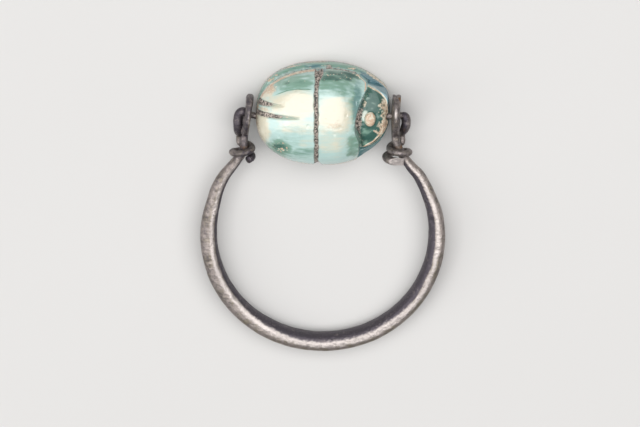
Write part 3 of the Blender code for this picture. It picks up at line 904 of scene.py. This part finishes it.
def collar_turns(centre_x, last):
    """The winding round a neck, a helix from behind it down to the last angle.

    Angles are in degrees and fall as the wire goes: 0 is outwards and 90 in front. The last
    turn on the right is wider.
    """
    side = math.copysign(1.0, centre_x)
    pieces = max(2, round((COLLAR_START - last) / 360.0 * TURN_POINTS))
    degrees = COLLAR_START + (last - COLLAR_START) * np.arange(pieces + 1) / pieces
    angle = np.radians(degrees)
    spread = LAST_TURN_SPREAD * smooth(60.0, 140.0, -degrees) * (side > 0.0)
    x = centre_x + side * (COLLAR_RADIUS + spread) * np.cos(angle)
    v = COLLAR_HEIGHT - COLLAR_PITCH * (90.0 - degrees) / 360.0
    v = v - 0.05 * side * smooth(0.0, 180.0, -degrees)
    return np.stack((x, v, COLLAR_RADIUS * np.sin(angle)), axis=-1).tolist()


def wire_line():
    """The wire's middle line from its cut end on the right to its end on the left."""
    right = (
        (6.70, 0.0, 0.0),
        (7.60, 0.06, 0.0),
        (7.98, -0.02, 0.0),
        (8.16, -0.42, 0.0),
        (8.15, -0.98, 0.0),
        (7.98, -1.55, -0.35),
        (7.76, -2.25, -1.00),
        *collar_turns(7.50, RIGHT_COLLAR_END),
    )
    left = (
        (-6.75, 0.0, 0.0),
        (-7.66, 0.22, 0.0),
        (-8.18, 0.46, 0.0),
        (-8.52, 0.22, 0.0),
        (-8.66, -0.32, 0.0),
        (-8.66, -0.95, 0.0),
        (-8.62, -1.60, -0.35),
        (-8.50, -2.30, -1.00),
        *collar_turns(-8.25, LEFT_COLLAR_END),
    )
    right = curve_through(right, WIRE_STEP)[::-1]
    left = curve_through(left, WIRE_STEP)
    straight = np.linspace(right[-1], left[0], 60)[1:-1]
    return np.concatenate((right, straight, left))


def carried_frames(line):
    """Two side directions at each point, square to the line and carried along without twist."""
    tangent = np.gradient(line, axis=0)
    tangent /= np.linalg.norm(tangent, axis=1, keepdims=True)
    side = np.empty_like(line)
    side[0] = np.cross(tangent[0], (0.3, 0.5, 0.8))
    side[0] /= np.linalg.norm(side[0])
    for i in range(1, len(line)):
        carried = side[i - 1] - tangent[i] * np.dot(side[i - 1], tangent[i])
        side[i] = carried / np.linalg.norm(carried)
    return side, np.cross(tangent, side)


def wire_surface():
    """A round section carried along the wire, worn unevenly, and cut slantwise on the right.

    Each point is the middle line plus the radius times a direction round it. Near the right
    end, what stands past the cut's plane is pressed back onto it.
    """
    line = wire_line()
    side, other = carried_frames(line)
    angle = 2.0 * math.pi * np.arange(WIRE_SIDES) / WIRE_SIDES
    c = np.cos(angle)[None, :, None]
    s = np.sin(angle)[None, :, None]
    around = c * side[:, None, :] + s * other[:, None, :]
    loops = smooth(-2.6, -1.6, line[:, 1]) * smooth(7.7, 8.1, np.abs(line[:, 0]))
    left_end = smooth(1.4, 0.4, np.linalg.norm(line - line[-1], axis=1))
    last_turn = smooth(4.5, 2.0, WIRE_STEP * np.arange(len(line)))
    swell = LOOP_SWELL * loops + LEFT_END_SWELL * left_end + LAST_TURN_SWELL * last_turn
    radius = (WIRE_RADIUS * (1.0 + swell))[:, None, None]
    round_points = line[:, None, :] + radius * around
    pits = 0.02 * smooth(0.55, 0.8, value_noise(round_points, 0.22, 91))
    wobble = 0.018 * layered_noise(round_points, 0.9, 81) - pits
    points = line[:, None, :] + (radius + wobble[..., None]) * around
    normal = np.array(CUT_FACING) / np.linalg.norm(CUT_FACING)
    near = np.arange(len(line))[:, None] < CUT_RINGS
    over = (points - np.array(CUT_PLACE)) @ normal
    over = np.where(near, np.clip(over, 0.0, None), 0.0)
    points = points - over[..., None] * normal
    return points, over > 0.0


def make_pin_wire():
    """The wire's object and its masks."""
    grid, cut = wire_surface()
    obj, ring = make_tube("pin_wire_silver", grid)
    cut = np.concatenate((cut.ravel(), [True, False])).astype(float)
    loops = smooth(-2.6, -1.6, ring[:, 1]) * smooth(7.5, 8.0, np.abs(ring[:, 0]))
    outer_rim = smooth(0.15, 0.35, np.abs(ring[:, 0]) - 8.0) * loops * (ring[:, 0] > 0.0)
    left_end = smooth(1.3, 0.8, np.linalg.norm(ring - ring[-1], axis=1))
    below = smooth(-0.4, -1.0, ring[:, 1]) * (1.0 - outer_rim)
    seam = bump(np.linalg.norm(ring - (6.9, -4.15, 1.0), axis=1), 0.45)
    masks = {
        "tarnish_and_shade": 0.35 + 0.5 * loops * (1.0 - 0.6 * outer_rim) - 0.3 * cut + 0.5 * left_end,
        "rubbed_and_highlight": cut,
        "rust": np.maximum(0.55 * loops * below * (ring[:, 0] > 0.0), 0.5 * seam),
    }
    set_attributes(obj.data, masks)
    return obj


# ---------------------------------------------------------------- materials


class Shader:
    """One material's nodes, added and linked by short calls."""

    def __init__(self, name):
        self.material = bpy.data.materials.new(name)
        self.material.use_nodes = True
        self.tree = self.material.node_tree
        self.surface = self.tree.nodes["Principled BSDF"]
        self.object_place = self.tree.nodes.new("ShaderNodeTexCoord").outputs["Object"]

    def feed(self, socket, value):
        """Link a socket's output in, or set a plain value."""
        if isinstance(value, bpy.types.NodeSocket):
            self.tree.links.new(value, socket)
        else:
            socket.default_value = value

    def attribute(self, name):
        """A number stored at each vertex."""
        node = self.tree.nodes.new("ShaderNodeAttribute")
        node.attribute_name = name
        return node.outputs["Fac"]

    def stretched(self, scale):
        """The object's own coordinates, scaled along each axis."""
        node = self.tree.nodes.new("ShaderNodeMapping")
        node.inputs["Scale"].default_value = scale
        self.feed(node.inputs["Vector"], self.object_place)
        return node.outputs["Vector"]

    def noise(self, size, detail=3.0, roughness=0.5, place=None):
        """Noise whose blotches are about one size across, in millimetres."""
        node = self.tree.nodes.new("ShaderNodeTexNoise")
        node.inputs["Scale"].default_value = 1.0 / (size * MM)
        node.inputs["Detail"].default_value = detail
        node.inputs["Roughness"].default_value = roughness
        self.feed(node.inputs["Vector"], place or self.object_place)
        return node.outputs["Fac"]

    def maths(self, operation, a, b=0.0, c=0.0):
        """One arithmetic step."""
        node = self.tree.nodes.new("ShaderNodeMath")
        node.operation = operation
        for socket, value in zip(node.inputs, (a, b, c)):
            self.feed(socket, value)
        return node.outputs[0]

    def plus(self, base, value, share=1.0):
        """The base with a share of the value added to it."""
        return self.maths("MULTIPLY_ADD", value, share, base)

    def swing(self, noise, reach, base=0.0):
        """The base with noise added to it, centred on zero and scaled by its reach."""
        return self.maths("MULTIPLY_ADD", self.maths("SUBTRACT", noise, 0.5), reach, base)

    def ramp(self, value, low, high, start=0.0, end=1.0):
        """Smooth rise from start to end while the value goes from low to high."""
        node = self.tree.nodes.new("ShaderNodeMapRange")
        node.interpolation_type = "SMOOTHSTEP"
        self.feed(node.inputs["Value"], value)
        node.inputs["From Min"].default_value = low
        node.inputs["From Max"].default_value = high
        node.inputs["To Min"].default_value = start
        node.inputs["To Max"].default_value = end
        return node.outputs["Result"]

    def mix(self, share, a, b):
        """Blend two colours."""
        node = self.tree.nodes.new("ShaderNodeMix")
        node.data_type = "RGBA"
        colours = [socket for socket in node.inputs if socket.type == "RGBA"]
        self.feed(node.inputs["Factor"], share)
        for socket, value in zip(colours, (a, b)):
            self.feed(socket, value if isinstance(value, bpy.types.NodeSocket) else (*value, 1.0))
        return next(socket for socket in node.outputs if socket.type == "RGBA")

    def bumps(self, height, distance):
        """Shade the surface as if it rose and fell by the distance, in millimetres."""
        node = self.tree.nodes.new("ShaderNodeBump")
        node.inputs["Distance"].default_value = distance * MM
        self.feed(node.inputs["Height"], height)
        self.feed(self.surface.inputs["Normal"], node.outputs["Normal"])

    def ragged(self, mask, grain, reach, low=0.35, high=0.65):
        """A mask with its soft edge broken up by grain."""
        return self.ramp(self.swing(grain, reach, mask), low, high)


# Colours that only season the ones in the settings.
DARK_GRAINS = (0.22, 0.15, 0.10)
PALE_CRUMBS = (0.50, 0.42, 0.36)
WARM_SILVER = (0.27, 0.235, 0.18)
BLACK_SPECKS = (0.05, 0.042, 0.040)


def glaze_material(settings):
    """Blue-green glaze over pale stone: deeper in places, worn to the stone, dirt in grooves, and a
    painted reflection of the overhead light in the pale middle of the back.
    """
    shader = Shader("scarab_glaze")
    broad = shader.noise(1.6, detail=4.0)
    fine = shader.noise(0.30, detail=4.0, roughness=0.6)
    grain = shader.noise(0.09, detail=2.0)
    streaks = shader.noise(0.22, detail=3.0, place=shader.stretched((0.12, 1.0, 1.0)))
    wander = shader.swing(broad, 0.30, shader.swing(streaks, 0.45))
    deep = shader.plus(shader.attribute("deep"), wander)
    glaze = shader.mix(shader.ramp(deep, 0.0, 0.5), settings.pale_glaze, settings.green_glaze)
    glaze = shader.mix(shader.ramp(deep, 0.5, 1.0), glaze, settings.deep_glaze)
    blue = shader.plus(shader.attribute("blue"), wander, 0.6)
    glaze = shader.mix(shader.ramp(blue, 0.1, 1.0), glaze, settings.blue_glaze)
    # The pale mask also paints the reflection of the overhead light in cream.
    pale_and_reflection = shader.plus(shader.attribute("pale_and_reflection"), wander)
    glaze = shader.mix(shader.ramp(pale_and_reflection, 0.1, 0.9), glaze, settings.cream)
    bare = shader.ragged(shader.attribute("bare"), fine, 0.9)
    stone = shader.mix(shader.ramp(fine, 0.42, 0.66), settings.stone, settings.cream)
    stone = shader.mix(shader.ramp(grain, 0.60, 0.72), stone, DARK_GRAINS)
    dirt = shader.ragged(shader.attribute("dirt"), fine, 0.6)
    crumbs = shader.noise(0.20, detail=3.0, roughness=0.7)
    soil = shader.mix(shader.ramp(crumbs, 0.43, 0.57), settings.dirt, PALE_CRUMBS)
    colour = shader.mix(dirt, shader.mix(bare, glaze, stone), soil)
    shader.feed(shader.surface.inputs["Base Color"], colour)
    rough = shader.plus(0.08, bare, 0.28)
    rough = shader.plus(rough, shader.ramp(shader.attribute("deep"), 0.70, 1.0), 0.40)
    rough = shader.plus(rough, dirt, 0.60)
    rough = shader.plus(rough, fine, 0.10)
    shader.feed(shader.surface.inputs["Roughness"], rough)
    shader.surface.inputs["IOR"].default_value = 1.75
    shader.surface.inputs["Coat Weight"].default_value = 0.25
    shader.surface.inputs["Coat Roughness"].default_value = 0.08
    lumps = shader.maths("MULTIPLY", crumbs, dirt)
    shader.bumps(shader.plus(fine, lumps, 3.0), 0.022)
    return shader.material


def silver_material(settings, name):
    """Worked silver under a mottled grey-violet skin, worn to fresh silver where it is handled or
    cut, with painted shade on the hoop's inner face and painted highlights along its front edge and
    plate ridges.
    """
    shader = Shader(name)
    blotch = shader.noise(1.1, detail=5.0, roughness=0.6)
    speck = shader.noise(0.34, detail=4.0, roughness=0.7)
    grain = shader.noise(0.14, detail=2.0)
    # The tarnish mask also darkens the hoop's inner face as painted shade.
    tarnish_and_shade = shader.swing(speck, 2.0, shader.swing(blotch, 1.1, shader.attribute("tarnish_and_shade")))
    tarnish_and_shade = shader.ramp(tarnish_and_shade, -0.15, 1.0)
    # The rubbed mask also carries the painted highlights on the hoop's front edge and plate ridges,
    # besides the fresh cut on the wire.
    rubbed_and_highlight = shader.ragged(shader.attribute("rubbed_and_highlight"), speck, 1.6, 0.2, 1.0)
    silver = shader.mix(shader.ramp(blotch, 0.45, 0.65), settings.silver, WARM_SILVER)
    metal = shader.mix(tarnish_and_shade, silver, settings.tarnish_and_shade)
    metal = shader.mix(rubbed_and_highlight, metal, settings.bright)
    metal = shader.mix(shader.ramp(grain, 0.60, 0.72, 0.0, 0.5), metal, BLACK_SPECKS)
    rust = shader.ragged(shader.attribute("rust"), blotch, 1.6, 0.55, 0.85)
    colour = shader.mix(rust, metal, settings.deposit)
    shader.feed(shader.surface.inputs["Base Color"], colour)
    shader.feed(shader.surface.inputs["Metallic"], shader.plus(0.78, rust, -0.7))
    rough = shader.plus(0.30, tarnish_and_shade, 0.10)
    rough = shader.plus(rough, speck, 0.16)
    rough = shader.plus(rough, rust, 0.30)
    shader.feed(shader.surface.inputs["Roughness"], rough)
    shader.bumps(shader.plus(speck, blotch, 0.6), 0.10)
    return shader.material


def floor_material(settings):
    """Pale matt board with the faintest mottling."""
    shader = Shader("pale_board")
    cloud = shader.noise(30.0)
    dimmer = [0.97 * value for value in settings.floor]
    shader.feed(shader.surface.inputs["Base Color"], shader.mix(cloud, settings.floor, dimmer))
    shader.surface.inputs["Roughness"].default_value = 0.6
    return shader.material


# ---------------------------------------------------------------- settings


def length_setting(name, description, default):
    """A length in metres that the sidebar shows in the scene's units."""
    return FloatProperty(
        name=name, description=description, default=default * MM, unit="LENGTH", precision=5
    )


def colour_setting(name, description, default):
    """A linear colour."""
    return FloatVectorProperty(
        name=name, description=description, default=default, subtype="COLOR", min=0.0, max=1.0
    )


class ScarabSettings(bpy.types.PropertyGroup):
    """Sizes and glaze colours of the scarab."""

    length: length_setting("Length", "From tail to head at the widest contour", 13.32)
    width: length_setting("Width", "Across the widest contour", 9.80)
    height: length_setting("Height", "From the base to the top of the back", SCARAB_HEIGHT)
    groove_depth: length_setting("Groove depth", "How deep the collar groove is cut", 0.45)
    wear: FloatProperty(
        name="Wear",
        description="How strongly time has worked on the surface",
        default=1.0,
        min=0.0,
        max=2.0,
        subtype="FACTOR",
    )
    pale_glaze: colour_setting("Pale glaze", "Thin blue-green glaze", (0.46, 0.63, 0.59))
    green_glaze: colour_setting("Green glaze", "Glaze of middling thickness", (0.21, 0.35, 0.275))
    deep_glaze: colour_setting("Deep glaze", "Thick green glaze", (0.018, 0.088, 0.066))
    blue_glaze: colour_setting("Blue glaze", "Glaze over sides and forelegs", (0.095, 0.20, 0.235))
    # Also the colour of the painted reflection over the middle of the back.
    cream: colour_setting("Cream", "Bleached glaze", (0.68, 0.64, 0.50))
    stone: colour_setting("Stone", "Bare steatite", (0.56, 0.38, 0.25))
    dirt: colour_setting("Dirt", "Packed earth in the grooves", (0.045, 0.042, 0.036))


class SilverSettings(bpy.types.PropertyGroup):
    """Colours of the hoop and the wire."""

    silver: colour_setting("Silver", "Grey worked silver", (0.34, 0.295, 0.27))
    # Also the colour of the painted highlights on the hoop.
    bright: colour_setting("Bright silver", "Rubbed or freshly cut silver", (0.60, 0.54, 0.51))
    # Also the colour of the painted shade on the hoop's inner face.
    tarnish_and_shade: colour_setting("Tarnish", "Dark grey-violet skin", (0.085, 0.074, 0.088))
    deposit: colour_setting("Deposit", "Rusty brown deposit", (0.16, 0.085, 0.035))


class StageSettings(bpy.types.PropertyGroup):
    """The floor, the light and the camera."""

    floor: colour_setting("Floor", "Pale board", (0.60, 0.59, 0.575))
    tilt: FloatProperty(
        name="Camera tilt",
        description="How far the camera leans from straight above",
        default=math.radians(16.0),
        subtype="ANGLE",
    )
    view_width: length_setting("View width", "Width of the view at the ring", 64.0)
    distance: length_setting("Distance", "From the camera to the ring", 700.0)


# ---------------------------------------------------------------- operators


class RING_OT_make_scarab(bpy.types.Operator):
    """Make the carved and glazed scarab"""

    bl_idname = "ring.make_scarab"
    bl_label = "Make scarab"

    def execute(self, context):
        settings = context.scene.scarab_settings
        scarab = make_scarab(settings)
        scarab.data.materials.append(glaze_material(settings))
        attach(scarab, "scarab")
        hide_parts("scarab")
        return {"FINISHED"}


class RING_OT_make_hoop(bpy.types.Operator):
    """Make the silver hoop with its two eyes"""

    bl_idname = "ring.make_hoop"
    bl_label = "Make hoop"

    def execute(self, context):
        hoop = make_hoop()
        hoop.data.materials.append(silver_material(context.scene.silver_settings, "hoop_tarnish_shade_and_highlight"))
        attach(hoop, "ring")
        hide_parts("hoop")
        return {"FINISHED"}


class RING_OT_make_pin_wire(bpy.types.Operator):
    """Make the wire that pins the scarab and winds round both necks"""

    bl_idname = "ring.make_pin_wire"
    bl_label = "Make pin wire"

    def execute(self, context):
        wire = make_pin_wire()
        wire.data.materials.append(silver_material(context.scene.silver_settings, "wire_tarnish"))
        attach(wire, "ring")
        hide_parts("pin_wire")
        return {"FINISHED"}


# Each light's name, place, target, size and power.
LIGHTS = (
    ("overhead_soft", (130, 310, 1000), (130, 310, 0), (1900, 1330), 21.0),
    ("left_soft", (-900, -200, 640), (0, 0, 0), (600, 900), 4.0),
)
ROOM_COLOUR = (0.14, 0.14, 0.15, 1.0)
FLOOR_HALF_SIDE = 1500.0

# What the camera looks at: a place along the pin, and how far below the pin in the view.
VIEW_X = -0.45
VIEW_DROP = 9.75
SENSOR_WIDTH = 36.0


def add_light(name, place, target, size, power):
    """A rectangular soft light that points at the target. Lengths are in millimetres."""
    data = bpy.data.lights.new(name, "AREA")
    data.shape = "RECTANGLE"
    data.size = size[0] * MM
    data.size_y = size[1] * MM
    data.energy = power
    lamp = bpy.data.objects.new(name, data)
    lamp.location = Vector(place) * MM
    aim = Vector(target) - Vector(place)
    lamp.rotation_euler = aim.to_track_quat("-Z", "Y").to_euler()
    bpy.context.scene.collection.objects.link(lamp)


class RING_OT_make_stage(bpy.types.Operator):
    """Make the pale floor, the soft light and the camera"""

    bl_idname = "ring.make_stage"
    bl_label = "Make stage"

    def execute(self, context):
        settings = context.scene.stage_settings
        side = FLOOR_HALF_SIDE
        corners = [(-side, -side, 0.0), (side, -side, 0.0), (side, side, 0.0), (-side, side, 0.0)]
        mesh = make_mesh("floor", corners, [(0, 1, 2, 3)])
        floor = place_piece(mesh, "floor")
        mesh.materials.append(floor_material(settings))
        for light in LIGHTS:
            add_light(*light)
        world = bpy.data.worlds.new("soft_room")
        world.use_nodes = True
        world.node_tree.nodes["Background"].inputs["Color"].default_value = ROOM_COLOUR
        context.scene.world = world
        context.scene.view_settings.view_transform = "Standard"
        data = bpy.data.cameras.new("camera")
        data.sensor_width = SENSOR_WIDTH
        data.lens = SENSOR_WIDTH * settings.distance / settings.view_width
        data.clip_start = 10.0 * MM
        data.clip_end = 10.0
        camera = bpy.data.objects.new("camera", data)
        lean = Matrix.Rotation(-settings.tilt, 4, "X")
        up = lean @ Vector((0.0, 1.0, 0.0))
        target = (Vector((VIEW_X, PIN.y, PIN.z)) - up * VIEW_DROP) * MM
        camera.location = target + lean @ Vector((0.0, 0.0, settings.distance))
        camera.rotation_euler = lean.to_euler()
        context.scene.collection.objects.link(camera)
        context.scene.camera = camera
        return {"FINISHED"}


class RING_PT_panel(bpy.types.Panel):
    """Lists what can be made"""

    bl_label = "Scarab swivel ring"
    bl_idname = "RING_PT_panel"
    bl_space_type = "VIEW_3D"
    bl_region_type = "UI"
    bl_category = "Scarab"

    def draw(self, context):
        groups = ("scarab_settings", "silver_settings", "stage_settings")
        for group in groups:
            settings = getattr(context.scene, group)
            box = self.layout.box()
            for name in settings.bl_rna.properties.keys():
                if name not in ("rna_type", "name"):
                    box.prop(settings, name)
        for operator in OPERATORS:
            self.layout.operator(operator.bl_idname)


OPERATORS = (
    RING_OT_make_stage,
    RING_OT_make_scarab,
    RING_OT_make_hoop,
    RING_OT_make_pin_wire,
)
SETTINGS = {
    "scarab_settings": ScarabSettings,
    "silver_settings": SilverSettings,
    "stage_settings": StageSettings,
}


def register():
    """Register the settings, the operators and the panel."""
    for name, group in SETTINGS.items():
        bpy.utils.register_class(group)
        setattr(bpy.types.Scene, name, PointerProperty(type=group))
    for operator in OPERATORS:
        bpy.utils.register_class(operator)
    bpy.utils.register_class(RING_PT_panel)


def unregister():
    """Take everything out again."""
    bpy.utils.unregister_class(RING_PT_panel)
    for operator in OPERATORS:
        bpy.utils.unregister_class(operator)
    for name, group in SETTINGS.items():
        delattr(bpy.types.Scene, name)
        bpy.utils.unregister_class(group)


def main():
    """Make every piece in order."""
    register()
    bpy.ops.ring.make_stage()
    bpy.ops.ring.make_scarab()
    bpy.ops.ring.make_hoop()
    bpy.ops.ring.make_pin_wire()


if __name__ == "__main__":
    main()
